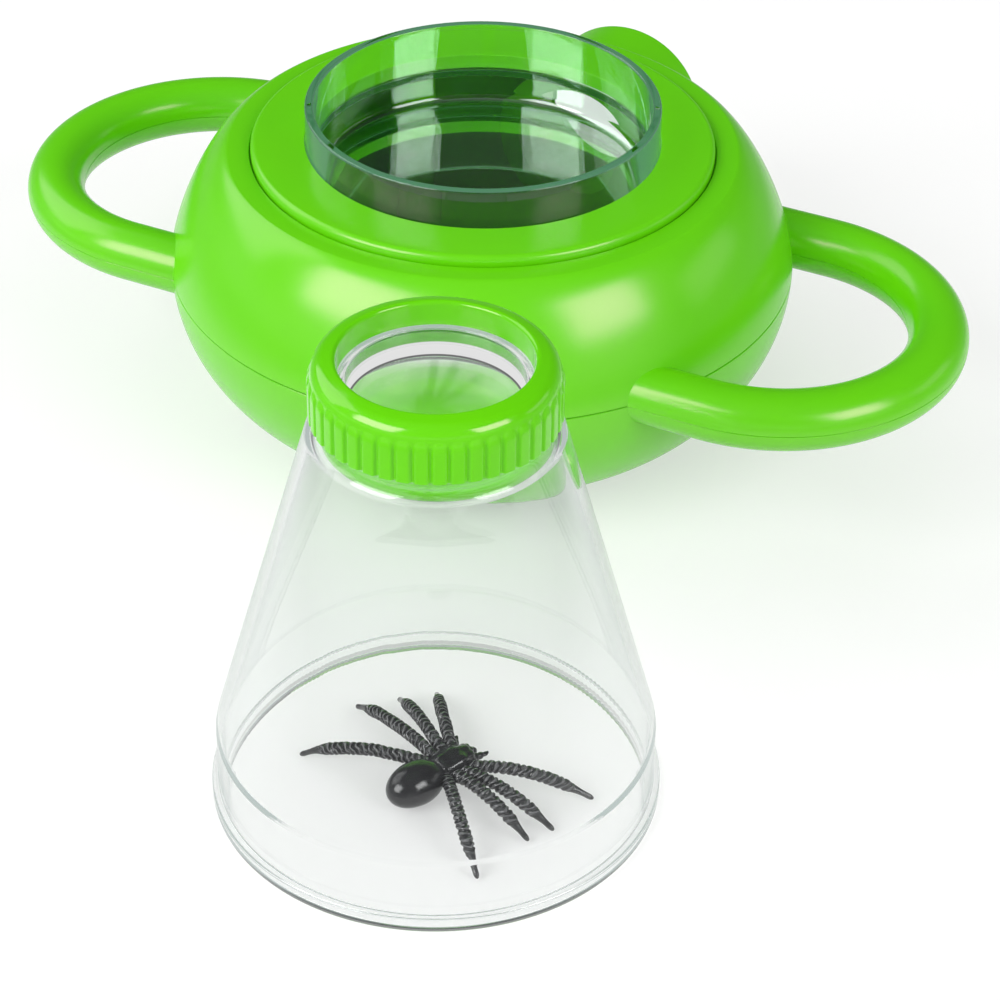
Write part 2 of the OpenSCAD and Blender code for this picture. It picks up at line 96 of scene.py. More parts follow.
WINDOW_R, CREST_X, CREST_Z, CREST_R = 14.3, 14.9, 78.5, 0.6
SLEEVE_R, SLEEVE_WALL, LENS_TOP, LENS_EDGE, LENS_SAG = 14.0, 0.9, 70.5, 1.4, 1.3
MM = 0.001
print("body", 2 * BODY_R, "mm wide, jar's axis at", (JAR_X, JAR_Y))

# %% [markdown]
# ## Surfaces from numbers
# Every piece is a grid of points worked out with whole arrays: a profile that is
# turned round an axis, or a section that is carried along a path. A grid needs
# only its number of rows and columns to know its faces.

# %% Faces of a grid, and turned profiles
def quads(rows, columns, wrap_rows=False, wrap_columns=False):
    """Faces of a grid whose point (i, j) has the number i * columns + j. Each face
    joins a point to the next ones in both directions; a wrapped direction joins
    the last line back to the first."""
    i = np.arange(rows if wrap_rows else rows - 1)[:, None]
    j = np.arange(columns if wrap_columns else columns - 1)[None, :]
    i2, j2 = (i + 1) % rows, (j + 1) % columns
    four = (i * columns + j, i2 * columns + j, i2 * columns + j2, i * columns + j2)
    return np.stack(np.broadcast_arrays(*four), -1).reshape(-1, 4)


def turned(profile, around=224, x=0.0, y=0.0):
    """Carries a closed profile of (radius, height) points round a vertical axis:
    x = radius cos t, y = radius sin t, with the height kept."""
    profile = np.asarray(profile, float)
    t = np.linspace(0, 2 * np.pi, around, endpoint=False)[:, None]
    r, z = profile[None, :, 0], profile[None, :, 1]
    points = np.stack([x + r * np.cos(t), y + r * np.sin(t), z + 0 * t], -1)
    return points.reshape(-1, 3), quads(around, len(profile), True, True)


def bulge(r0, z0, r1, z1, fullness, steps=72):
    """A curve from (r0, z0), upright there, to (r1, z1), level there: the
    distances to r1 and from z0, each raised to the fullness, add up to 1."""
    t = np.linspace(0, np.pi / 2, steps)
    r = r1 + (r0 - r1) * np.cos(t) ** (2 / fullness)
    z = z0 + (z1 - z0) * np.sin(t) ** (2 / fullness)
    return np.stack([r, z], -1)


def softened(corners, steps=7):
    """Rounds the corners of a closed outline. Each corner is (radius, height,
    rounding), and becomes an arc that touches both of its sides; a rounding of 0
    leaves the point as it is."""
    corners = np.asarray(corners, float)
    out = []
    for k, (r, z, rounding) in enumerate(corners):
        p = np.array([r, z])
        if rounding == 0:
            out.append(p[None])
            continue
        u, v = corners[k - 1, :2] - p, corners[(k + 1) % len(corners), :2] - p
        u, v = u / np.linalg.norm(u), v / np.linalg.norm(v)
        half = np.arccos(np.clip(u @ v, -1, 1)) / 2
        middle = p + (u + v) / np.linalg.norm(u + v) * rounding / np.sin(half)
        start, end = p + u * rounding / np.tan(half) - middle, p + v * rounding / np.tan(half) - middle
        s = np.linspace(0, 1, steps)[:, None]
        angle = np.pi - 2 * half
        arc = (np.sin((1 - s) * angle) * start + np.sin(s * angle) * end) / np.sin(angle)
        out.append(middle + arc)
    return np.concatenate(out)


def plain(points):
    """Gives curve points a rounding of 0, so that they can go into softened()."""
    return [(r, z, 0) for r, z in points]


# %% [markdown]
# A finished piece has its points in metres, its object at the origin, its seams
# merged and its faces looking outwards. Edges sharper than a set angle stay
# crisp, and all others are shaded smooth.

# %% Turn arrays into a piece
def mesh_of(name, surfaces, sharp=32):
    """Joins surfaces, each with its points in millimetres and its faces, in one
    mesh. A surface may have a third array, its map's two values at each point."""
    points = np.concatenate([s[0] for s in surfaces]) * MM
    starts = np.cumsum([0] + [len(s[0]) for s in surfaces])
    faces = []
    for surface, start in zip(surfaces, starts):
        f = surface[1]
        if isinstance(f, list):
            faces += [[int(n) + int(start) for n in face] for face in f]
        else:
            faces += (f + start).tolist()
    mesh = bpy.data.meshes.new(name)
    mesh.from_pydata(points.tolist(), [], faces)
    if any(len(s) > 2 for s in surfaces):
        values = np.concatenate([s[2] if len(s) > 2 else np.zeros((len(s[0]), 2)) for s in surfaces])
        corners = np.empty(len(mesh.loops), int)
        mesh.loops.foreach_get("vertex_index", corners)
        mesh.uv_layers.new(name="ridges").data.foreach_set("uv", values[corners].ravel())
    work = bmesh.new()
    work.from_mesh(mesh)
    bmesh.ops.remove_doubles(work, verts=work.verts, dist=2e-7)
    bmesh.ops.recalc_face_normals(work, faces=work.faces)
    work.to_mesh(mesh)
    work.free()
    mesh.shade_smooth()
    mesh.set_sharp_from_angle(angle=math.radians(sharp))
    return mesh


def piece(name, surfaces, material, body, node, sharp=32):
    """One named piece that rides on a body and stands for a measured node."""
    shape = bpy.data.objects.new(name, mesh_of(name, surfaces, sharp))
    bpy.context.scene.collection.objects.link(shape)
    shape.data.materials.append(material)
    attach(shape, body)
    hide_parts(node)
    print(f"{name}: {len(shape.data.polygons)} faces")
    return shape


# %% [markdown]
# ## The camera
# The photograph was taken with a long lens from in front and above, a little to
# the right. Its place was found by fitting the rims of the dish, the ring, the
# cap and the jar. The tiny roll is the photographer's.

# %% Camera
AZIMUTH, PITCH, ROLL = 0.448, 0.626, 0.012
FOCAL_PIXELS, MIDDLE_PIXEL, PICTURE, SENSOR = 3043.3, 491.7, 1000, 36
VIEW_X, VIEW_Y, VIEW_Z = 0.20667, -0.42472, 0.31564
look = Vector((-math.sin(AZIMUTH) * math.cos(PITCH), math.cos(AZIMUTH) * math.cos(PITCH), -math.sin(PITCH)))
level = Vector((math.cos(AZIMUTH), math.sin(AZIMUTH), 0))
above = level.cross(look)
right = level * math.cos(ROLL) + above * math.sin(ROLL)
up = above * math.cos(ROLL) - level * math.sin(ROLL)
lens = bpy.data.cameras.new("view_lens")
lens.sensor_width = SENSOR
lens.lens = FOCAL_PIXELS / PICTURE * SENSOR
lens.shift_x = (PICTURE / 2 - MIDDLE_PIXEL) / PICTURE
lens.clip_start, lens.clip_end = 0.02, 20
viewer = bpy.data.objects.new("view", lens)
viewer.matrix_world = Matrix((
    (right.x, up.x, -look.x, VIEW_X),
    (right.y, up.y, -look.y, VIEW_Y),
    (right.z, up.z, -look.z, VIEW_Z),
    (0, 0, 0, 1)))
bpy.context.scene.collection.objects.link(viewer)
bpy.context.scene.camera = viewer
print("lens", round(lens.lens, 1), "mm, shift", round(lens.shift_x, 4))

# %% [markdown]
# ## The table, the room and the lamps
# The set stands on a white table in a bright but plain studio. What the glossy
# plastic mirrors shows where the lamps are: two broad soft boxes, one on each side
# of the camera, and two weaker ones, on the left and behind the set on the right.
#
# The room looks different to different rays. The camera sees it white, also
# through clear plastic. Scattered rays see an even grey. Mirrored rays see a pale
# horizon under a dark ceiling, and less of both behind the set.
#
# The table keeps the set's shadow, and its own colour is lifted towards white
# for the camera, for mirrors and for what is seen through clear plastic. Its far
# parts are dim in mirrors.

# %% Colour management and small node helpers
scene = bpy.context.scene
scene.view_settings.view_transform = "Standard"


def node_of(tree, kind, **values):
    """Adds one node and sets its named properties and input values."""
    made = tree.nodes.new(kind)
    for key, value in values.items():
        if hasattr(made, key):
            setattr(made, key, value)
        else:
            made.inputs[key.replace("_", " ")].default_value = value
    return made


def feed(tree, socket, value):
    """Links a socket to the one that feeds it, or gives it a value."""
    if isinstance(value, bpy.types.NodeSocket):
        tree.links.new(value, socket)
    else:
        socket.default_value = value


def math_of(tree, kind, a, b=None, clamp=False):
    """A Math node. a and b are numbers or the sockets that feed them."""
    made = node_of(tree, "ShaderNodeMath", operation=kind, use_clamp=clamp)
    feed(tree, made.inputs[0], a)
    if b is not None:
        feed(tree, made.inputs[1], b)
    return made.outputs[0]


def blended(tree, share, first, second):
    """The first colour with a share of the second over it. All three are values or
    sockets. A Mix node keeps its two colours in its inputs 6 and 7."""
    made = node_of(tree, "ShaderNodeMix", data_type="RGBA")
    for k, value in ((0, share), (6, first), (7, second)):
        feed(tree, made.inputs[k], value)
    return made.outputs[2]


def layered(tree, share, under, over):
    """One shader with a share of another laid over it."""
    made = node_of(tree, "ShaderNodeMixShader")
    for socket, value in zip(made.inputs, (share, under, over)):
        feed(tree, socket, value)
    return made.outputs[0]


def past(tree, path, name):
    """1 for rays that have met a surface in the named way at least once."""
    return math_of(tree, "GREATER_THAN", path.outputs[name], 0.5)


# %% The room around the table
ROOM_LIGHT, ROOM_IMAGE, HORIZON, BEHIND = 0.45, 0.15, 0.60, 0.20
HORIZON_END, CEILING_START, SIDE_REACH = 0.06, 0.30, 0.25
world = bpy.data.worlds.new("room")
scene.world = world
world.use_nodes = True
tree = world.node_tree
tree.nodes.clear()
place = node_of(tree, "ShaderNodeTexCoord")
split = node_of(tree, "ShaderNodeSeparateXYZ")
tree.links.new(place.outputs["Generated"], split.inputs[0])
glow = node_of(tree, "ShaderNodeValToRGB")
tree.links.new(split.outputs["Z"], glow.inputs["Fac"])
for stop, value in zip(glow.color_ramp.elements, (HORIZON, ROOM_IMAGE)):
    stop.color = (value, value, value, 1)
glow.color_ramp.elements[0].position = HORIZON_END
glow.color_ramp.elements[1].position = CEILING_START
back_wall = node_of(tree, "ShaderNodeMapRange", From_Min=-SIDE_REACH, From_Max=SIDE_REACH,
                    To_Min=1.0, To_Max=BEHIND)
tree.links.new(split.outputs["Y"], back_wall.inputs["Value"])
dimmed = node_of(tree, "ShaderNodeVectorMath", operation="SCALE")
tree.links.new(glow.outputs["Color"], dimmed.inputs[0])
tree.links.new(back_wall.outputs["Result"], dimmed.inputs["Scale"])
path = node_of(tree, "ShaderNodeLightPath")
scattered, mirrored = past(tree, path, "Diffuse Depth"), past(tree, path, "Glossy Depth")
lit = blended(tree, scattered, dimmed.outputs[0], (ROOM_LIGHT, ROOM_LIGHT, ROOM_LIGHT, 1))
indirect = math_of(tree, "MAXIMUM", scattered, mirrored)
back = node_of(tree, "ShaderNodeBackground", Strength=1)
tree.links.new(blended(tree, indirect, (1, 1, 1, 1), lit), back.inputs["Color"])
out = node_of(tree, "ShaderNodeOutputWorld")
tree.links.new(back.outputs[0], out.inputs["Surface"])
print("room light", ROOM_LIGHT, "room image", ROOM_IMAGE)

# %% The white table
FLOOR_LIFT, FLOOR_GLOW, FLOOR_IMAGE, FLOOR_FAR = 0.44, 1.22, 0.98, 0.25
NEAR_REACH, FAR_REACH = 0.10, 0.26
table = bpy.data.materials.new("white_table")
table.use_nodes = True
tree = table.node_tree
tree.nodes.clear()
paint = node_of(tree, "ShaderNodeBsdfDiffuse", Color=(0.86, 0.86, 0.86, 1))
lift = node_of(tree, "ShaderNodeEmission", Color=(1, 1, 1, 1))
path = node_of(tree, "ShaderNodeLightPath")
extra = math_of(tree, "MULTIPLY", path.outputs["Is Camera Ray"], FLOOR_GLOW - FLOOR_IMAGE)
tree.links.new(math_of(tree, "ADD", extra, FLOOR_IMAGE), lift.inputs["Strength"])
unscattered = math_of(tree, "SUBTRACT", 1.0, past(tree, path, "Diffuse Depth"))
lifted = layered(tree, math_of(tree, "MULTIPLY", unscattered, FLOOR_LIFT), paint.outputs[0], lift.outputs[0])
place = node_of(tree, "ShaderNodeTexCoord")
away = node_of(tree, "ShaderNodeVectorMath", operation="LENGTH")
tree.links.new(place.outputs["Object"], away.inputs[0])
far = node_of(tree, "ShaderNodeMapRange", From_Min=NEAR_REACH, From_Max=FAR_REACH,
              interpolation_type="SMOOTHSTEP")
tree.links.new(away.outputs["Value"], far.inputs["Value"])
image = math_of(tree, "MULTIPLY", past(tree, path, "Glossy Depth"), unscattered)
far_image = math_of(tree, "MULTIPLY", image, far.outputs["Result"])
dim = node_of(tree, "ShaderNodeEmission", Color=(1, 1, 1, 1), Strength=FLOOR_FAR)
out = node_of(tree, "ShaderNodeOutputMaterial")
tree.links.new(layered(tree, far_image, lifted, dim.outputs[0]), out.inputs["Surface"])
side, drop = 6.0, -1e-4
floor_mesh = bpy.data.meshes.new("table_top")
corners = [(-side, -side, drop), (side, -side, drop), (side, side, drop), (-side, side, drop)]
floor_mesh.from_pydata(corners, [], [(0, 1, 2, 3)])
floor = bpy.data.objects.new("table_top", floor_mesh)
floor.data.materials.append(table)
scene.collection.objects.link(floor)
floor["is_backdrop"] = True
print("table lifted by", FLOOR_LIFT)


# %% Soft boxes
AIM = Vector((0.02, -0.03, 0.03))


def soft_box(name, azimuth, elevation, width, height, brightness, distance=1.4):
    """A rectangular lamp that looks at AIM in the set. Azimuth 0 is towards +Y and
    90 towards -X. Its power is brightness times pi times its area."""
    a, e = math.radians(azimuth), math.radians(elevation)
    way = Vector((-math.sin(a) * math.cos(e), math.cos(a) * math.cos(e), math.sin(e)))
    lamp = bpy.data.lights.new(name, "AREA")
    lamp.shape = "RECTANGLE"
    lamp.size = 2 * distance * math.tan(math.radians(width / 2))
    lamp.size_y = 2 * distance * math.tan(math.radians(height / 2))
    lamp.energy = brightness * math.pi * lamp.size * lamp.size_y
    holder = bpy.data.objects.new(name, lamp)
    holder.location = AIM + way * distance
    holder.rotation_euler = way.to_track_quat("Z", "Y").to_euler()
    scene.collection.objects.link(holder)
    print(name, round(lamp.energy, 1), "W")


soft_box("left_box", 152.7, 33, 36, 30, 5.6)
soft_box("right_box", -104.3, 29, 28, 25, 5.6)
soft_box("left_fill", 88, 34, 44, 40, 1.5)
soft_box("right_fill", -56, 14, 30, 14, 0.8)

# %% [markdown]
# ## Finishes
# Moulded plastic is never perfectly even: polishing of the mould leaves a faint
# waviness, the gloss changes a little from place to place, and the colour is a
# touch deeper here and there. One node group holds these effects for all the
# plastics, and each material gives it its own strength and scale.

# %% Group: moulded surface
def group_io(group, name, kind, value=None, output=False):
    """Declares one input or output of a node group."""
    made = group.interface.new_socket(name=name, in_out="OUTPUT" if output else "INPUT", socket_type=kind)
    if value is not None:
        made.default_value = value


def moulded_group():
    """Colour, roughness and normal of a moulding, from two noises, one as wide as a
    thumb and one as fine as the mould's polish. The wide one changes the colour,
    both change the gloss, and the fine one lifts the surface."""
    group = bpy.data.node_groups.new("moulded_surface", "ShaderNodeTree")
    group_io(group, "Colour", "NodeSocketColor", (0.5, 0.5, 0.5, 1))
    group_io(group, "Deep colour", "NodeSocketColor", (0.4, 0.4, 0.4, 1))
    group_io(group, "Cloud size", "NodeSocketFloat", 60.0)
    group_io(group, "Roughness", "NodeSocketFloat", 0.3)
    group_io(group, "Roughness spread", "NodeSocketFloat", 0.05)
    group_io(group, "Grain size", "NodeSocketFloat", 2500.0)
    group_io(group, "Grain height", "NodeSocketFloat", 0.05)
    group_io(group, "Colour", "NodeSocketColor", output=True)
    group_io(group, "Roughness", "NodeSocketFloat", output=True)
    group_io(group, "Normal", "NodeSocketVector", output=True)
    entry, leave = group.nodes.new("NodeGroupInput"), group.nodes.new("NodeGroupOutput")
    place = node_of(group, "ShaderNodeTexCoord")
    cloud = node_of(group, "ShaderNodeTexNoise", Detail=2.0)
    fine = node_of(group, "ShaderNodeTexNoise", Detail=1.0)
    link = group.links.new
    link(place.outputs["Object"], cloud.inputs["Vector"])
    link(place.outputs["Object"], fine.inputs["Vector"])
    link(entry.outputs["Cloud size"], cloud.inputs["Scale"])
    link(entry.outputs["Grain size"], fine.inputs["Scale"])
    colour = blended(group, cloud.outputs["Fac"], entry.outputs["Colour"], entry.outputs["Deep colour"])
    link(colour, leave.inputs["Colour"])
    both = math_of(group, "ADD", cloud.outputs["Fac"], fine.outputs["Fac"])
    swing = math_of(group, "SUBTRACT", both, 1.0)
    spread = math_of(group, "MULTIPLY", swing, entry.outputs["Roughness spread"])
    link(math_of(group, "ADD", entry.outputs["Roughness"], spread), leave.inputs["Roughness"])
    bump = node_of(group, "ShaderNodeBump", Distance=0.0001)
    link(entry.outputs["Grain height"], bump.inputs["Strength"])
    link(fine.outputs["Fac"], bump.inputs["Height"])
    link(bump.outputs["Normal"], leave.inputs["Normal"])
    return group


MOULDED = moulded_group()
print("group", MOULDED.name)


# %% Materials that use it
def moulded_effect(tree, colour, deep, roughness, spread, grain, height, cloud):
    """Adds the moulded group with its settings to a material's tree."""
    effect = node_of(tree, "ShaderNodeGroup", node_tree=MOULDED)
    settings = {"Colour": (*colour, 1), "Deep colour": (*deep, 1), "Cloud size": cloud,
                "Roughness": roughness, "Roughness spread": spread,
                "Grain size": grain, "Grain height": height}
    for key, value in settings.items():
        effect.inputs[key].default_value = value
    return effect


def moulded(name, colour, deep, roughness, spread, grain, height, cloud=60.0, **shine):
    """A Principled material with the moulded effects. Values that are the same all
    over, such as the refractive index, are set on the shader itself."""
    made = bpy.data.materials.new(name)
    made.use_nodes = True
    tree = made.node_tree
    shader = tree.nodes["Principled BSDF"]
    effect = moulded_effect(tree, colour, deep, roughness, spread, grain, height, cloud)
    tree.links.new(effect.outputs["Colour"], shader.inputs["Base Color"])
    tree.links.new(effect.outputs["Roughness"], shader.inputs["Roughness"])
    tree.links.new(effect.outputs["Normal"], shader.inputs["Normal"])
    for key, value in shine.items():
        shader.inputs[key.replace("_", " ")].default_value = value
    return made


GREEN, DEEP_GREEN = (0.138, 0.655, 0.0020), (0.120, 0.635, 0.0015)
SHINE = dict(Specular_IOR_Level=1.0, Specular_Tint=(1.0, 0.48, 0.70, 1))
green_shell = moulded("green_shell", GREEN, DEEP_GREEN, 0.23, 0.05, 1500, 0.08, **SHINE)
green_gloss = moulded("green_gloss", GREEN, DEEP_GREEN, 0.13, 0.05, 1500, 0.05, **SHINE)
black_rubber = moulded("black_rubber", (0.010, 0.010, 0.012), (0.005, 0.005, 0.007), 0.16, 0.06, 2600, 0.12,
                       cloud=300, Specular_IOR_Level=0.8)


def painted_ridge_highlights(tree, highlight_colour):
    """Paints highlights on the tops of the legs' ridges: a lighter colour stands in
    for the light that they catch. The legs carry their own map: its first value
    counts the ridges along the leg and its second is 1 where there are any. The
    mask rises with the sine of the count, as the ridge does."""
    place = node_of(tree, "ShaderNodeUVMap", uv_map="ridges")
    split = node_of(tree, "ShaderNodeSeparateXYZ")
    tree.links.new(place.outputs["UV"], split.inputs[0])
    count = math_of(tree, "MULTIPLY", split.outputs["X"], math.pi)
    wave = math_of(tree, "ABSOLUTE", math_of(tree, "SINE", count))
    top = node_of(tree, "ShaderNodeMapRange", From_Min=0.78, From_Max=0.97, interpolation_type="SMOOTHSTEP")
    tree.links.new(wave, top.inputs["Value"])
    shader = tree.nodes["Principled BSDF"]
    plain_colour = shader.inputs["Base Color"].links[0].from_socket
    share = math_of(tree, "MULTIPLY", top.outputs["Result"], split.outputs["Y"])
    tree.links.new(blended(tree, share, plain_colour, highlight_colour), shader.inputs["Base Color"])


# Painted highlights: the black legs' ridge tops get a lighter colour that stands in for the light they catch.
painted_ridge_highlights(black_rubber.node_tree, (0.10, 0.10, 0.106, 1))


# %% [markdown]
# Clear plastic bends light at both of its faces. Light that falls through it
# would be lost, because a renderer doesn't search for such paths, so for shadow
# rays and scattered ones the plastic counts as almost see-through: the table
# inside the jar stays bright, as it does in the real thing. A ray that is mirrored
# again and again, as where the real wall pipes light along, ends in one even
# painted glow that stands in for that piped light: a pale grey, and a deep green
# in the dish.
#
# A material may also have strips of painted light and shade that show an even
# grey: a painted glow at the jar's foot, a pale painted glow on the magnifier cup
# and a dark band of painted shade below it; and a half mirror, as on the floor of
# the dish.

# %% Clear plastic, mirror and steel
LONG_WAY = 8


def ring_strip(tree, axis, least_radius, most_radius, low, high):
    """1 on a strip round an upright axis (x, y): between two radii and between two
    heights, all in millimetres. It fades over a tenth of a millimetre at its
    lowest and highest edge, and ends sharply at the two radii."""
    least_radius, most_radius, low, high = (MM * v for v in (least_radius, most_radius, low, high))
    place = node_of(tree, "ShaderNodeTexCoord")
    moved = node_of(tree, "ShaderNodeVectorMath", operation="SUBTRACT")
    tree.links.new(place.outputs["Object"], moved.inputs[0])
    moved.inputs[1].default_value = (axis[0] * MM, axis[1] * MM, 0)
    split = node_of(tree, "ShaderNodeSeparateXYZ")
    tree.links.new(moved.outputs[0], split.inputs[0])
    flat = node_of(tree, "ShaderNodeCombineXYZ")
    tree.links.new(split.outputs["X"], flat.inputs["X"])
    tree.links.new(split.outputs["Y"], flat.inputs["Y"])
    away = node_of(tree, "ShaderNodeVectorMath", operation="LENGTH")
    tree.links.new(flat.outputs[0], away.inputs[0])
    out_there = math_of(tree, "MULTIPLY", math_of(tree, "GREATER_THAN", away.outputs["Value"], least_radius),
                        math_of(tree, "LESS_THAN", away.outputs["Value"], most_radius))
    middle, half = (low + high) / 2, (high - low) / 2
    off = math_of(tree, "ABSOLUTE", math_of(tree, "SUBTRACT", split.outputs["Z"], middle))
    near = math_of(tree, "MULTIPLY", math_of(tree, "SUBTRACT", half, off), 1e4, clamp=True)
    return math_of(tree, "MULTIPLY", out_there, near)


def clear_plastic(name, tint, shade=0.10, roughness=0.0, index=1.5, piped=(0.50, 0.57, 0.55), folds=2,
                  strips=(), film=None):
    """Transmitting plastic with faint smears. shade is the part of the light that
    it keeps from what is behind it. piped is the colour of a painted glow, which
    stands in for light piped along the wall and is shown by a ray that has been
    mirrored folds times or more, or has met LONG_WAY faces. A strip is an even
    grey glow over a share of the plastic, painted light where it is pale and
    painted shade where it is dark: (grey, share, values of ring_strip). film is a
    layer of mirror over a share of it: (share, values of ring_strip)."""
    made = bpy.data.materials.new(name)
    made.use_nodes = True
    tree = made.node_tree
    shader = tree.nodes["Principled BSDF"]
    effect = moulded_effect(tree, tint, [0.985 * c for c in tint], roughness, 0.02, 160.0, 0.0, 90.0)
    tree.links.new(effect.outputs["Colour"], shader.inputs["Base Color"])
    tree.links.new(math_of(tree, "MAXIMUM", effect.outputs["Roughness"], 0.0), shader.inputs["Roughness"])
    shader.inputs["Transmission Weight"].default_value = 1.0
    shader.inputs["IOR"].default_value = index
    path = node_of(tree, "ShaderNodeLightPath")
    light = math_of(tree, "MAXIMUM", path.outputs["Is Shadow Ray"], path.outputs["Is Diffuse Ray"])
    passed = math_of(tree, "MULTIPLY", light, 1 - shade)
    tree.links.new(math_of(tree, "SUBTRACT", 1.0, passed), shader.inputs["Alpha"])
    # Painted glow: a ray that has folded in the wall, or gone a long way, ends in this even colour, which
    # stands in for the light piped along it.
    inner = node_of(tree, "ShaderNodeEmission", Color=(*piped, 1), Strength=1.0)
    long_way = math_of(tree, "GREATER_THAN", path.outputs["Ray Depth"], LONG_WAY - 0.5)
    folded = math_of(tree, "GREATER_THAN", path.outputs["Glossy Depth"], folds - 0.5)
    ended = math_of(tree, "MAXIMUM", long_way, folded)
    surface = layered(tree, ended, shader.outputs[0], inner.outputs[0])
    # Painted light and shade: each strip is an even grey glow laid over a share of the plastic.
    layers = [(node_of(tree, "ShaderNodeEmission", Color=(grey, grey, grey, 1), Strength=1.0), share, where)
              for grey, share, where in strips]
    if film:
        half_mirror = node_of(tree, "ShaderNodeBsdfAnisotropic", Color=(0.68, 0.96, 0.74, 1), Roughness=0.03)
        layers.append((half_mirror, *film))
    for shown, share, where in layers:
        part = math_of(tree, "MULTIPLY", ring_strip(tree, *where), share)
        surface = layered(tree, part, surface, shown.outputs[0])
    tree.links.new(surface, tree.nodes["Material Output"].inputs["Surface"])
    return made


JAR_AXIS, DISH_AXIS = (JAR_X, JAR_Y), (0, 0)
# Painted strips: a grey glow round the lower outer edge of the jar's foot, a pale glow on the magnifier cup,
# and painted shade as a dark band below it.
FOOT_EDGE_GLOW = (0.42, 0.55, (JAR_AXIS, SKIRT_R + 0.75, SKIRT_R + 2, -1, 0.9))
CUP_GLOW = (0.76, 1.0, (JAR_AXIS, 12.7, 14.5, 70.9, 72.7))
CUP_SHADE = (0.15, 1.0, (JAR_AXIS, 12.7, 14.5, 69.2, 70.8))
DISH_FILM = (0.5, (DISH_AXIS, 0, DISH_R - DISH_WALL - 0.4, DISH_FLOOR - 0.1, DISH_FLOOR + 0.6))
clear = clear_plastic("clear_plastic", (0.975, 0.99, 0.985), strips=(FOOT_EDGE_GLOW,))
# The dish's piped colour is a deep green painted glow.
dish_clear = clear_plastic("clear_dish", (0.90, 0.99, 0.93), shade=0.25, index=1.6,
                           piped=(0.10, 0.27, 0.15), folds=3, film=DISH_FILM)
lens_clear = clear_plastic("clear_lens", (0.985, 0.995, 0.99), roughness=0.05)
cup_clear = clear_plastic("clear_cup", (0.985, 0.995, 0.99), roughness=0.10, strips=(CUP_GLOW, CUP_SHADE))

mirror = bpy.data.materials.new("mirror")
mirror.use_nodes = True
tree = mirror.node_tree
shader = tree.nodes["Principled BSDF"]
effect = moulded_effect(tree, (0.88, 0.90, 0.91), (0.86, 0.89, 0.90), 0.04, 0.03, 400.0, 0.0, 80.0)
tree.links.new(effect.outputs["Colour"], shader.inputs["Base Color"])
tree.links.new(effect.outputs["Roughness"], shader.inputs["Roughness"])
shader.inputs["Metallic"].default_value = 1.0

steel = moulded("screw_steel", (0.62, 0.64, 0.66), (0.50, 0.52, 0.55), 0.28, 0.10, 3000, 0.15,
                cloud=800, Metallic=1.0)
print("materials:", ", ".join(sorted(m.name for m in bpy.data.materials if m.users)))

# %% [markdown]
# ## The station's two shells
# Each shell is a turned wall: an outer curve from the seam to the flat top or to
# the foot, and a like curve about one wall thickness inside. Both shells step back
# a little at the seam, and the narrow groove between them shows as a fine dark
# line. Holes are cut with a Boolean modifier, because a round hole through a
# curved wall has no simple grid.

# %% Cut holes through a wall
def drilled(mesh, holes):
    """Takes closed tool surfaces out of a mesh with an exact Boolean."""
    wall = bpy.data.objects.new("wall", mesh)
    tool = bpy.data.objects.new("tool", mesh_of("tool", holes))
    for thing in (wall, tool):
        scene.collection.objects.link(thing)
    cut = wall.modifiers.new("holes", "BOOLEAN")
    cut.operation, cut.solver, cut.object = "DIFFERENCE", "EXACT", tool
    graph = bpy.context.evaluated_depsgraph_get()
    done = bpy.data.meshes.new_from_object(wall.evaluated_get(graph))
    old = tool.data
    for thing in (wall, tool):
        bpy.data.objects.remove(thing)
    bpy.data.meshes.remove(old)
    return done


def arrays_of(mesh):
    """A mesh's points in millimetres and its faces, to join it with other surfaces."""
    points = np.empty(len(mesh.vertices) * 3)
    mesh.vertices.foreach_get("co", points)
    return points.reshape(-1, 3) / MM, [list(face.vertices) for face in mesh.polygons]


def on_eyepiece(surface, y):
    """Lays a surface that was made on the vertical axis along the eyepiece's axis."""
    p, f = surface
    return np.stack([p[:, 0], p[:, 2] + y, SEAM_Z - p[:, 1]], -1), f


def rod(radius, low, high, x=0.0, y=0.0, around=96):
    """A closed round bar with its points turned half a step."""
    p, f = turned([(0, low), (radius, low), (radius, high), (0, high)], around)
    t = np.pi / around
    c, s = np.cos(t), np.sin(t)
    p = np.stack([p[:, 0] * c - p[:, 1] * s + x, p[:, 0] * s + p[:, 1] * c + y, p[:, 2]], -1)
    return p, f


EYE_HOLE = on_eyepiece(rod(EYE_R + EYE_HOLE_GAP, 0, EYE_END), EYE_IN - 1)
SCREW_PLACES = [(SCREW_RING * math.cos(t), SCREW_RING * math.sin(t)) for t in np.radians([45, 135, 225, 315])]

# %% [markdown]
# The loop handles are half-round bars on each shell. Their section is carried
# along a straight root, half a circle and a second root. The roots end inside the
# body's wall: their last points are moved along X until they lie in its middle.

# %% Middle of the body's wall, and the handle's sweep
def wall_radius(z, depth):
    """Radius of the body at height z, less a depth. The bulge's formula is solved
    for the radius, above the seam for the shoulder and below it for the bowl."""
    upper = np.clip((z - SEAM_Z) / (TOP_Z - SEAM_Z), 0, 1)
    lower = np.clip((SEAM_Z - z) / SEAM_Z, 0, 1)
    high = TOP_R + (BODY_R - TOP_R) * (1 - upper ** SHOULDER_FULLNESS) ** (1 / SHOULDER_FULLNESS)
    low = FOOT_R + (BODY_R - FOOT_R) * (1 - lower ** BOWL_FULLNESS) ** (1 / BOWL_FULLNESS)
    return np.where(z >= SEAM_Z, high, low) - depth


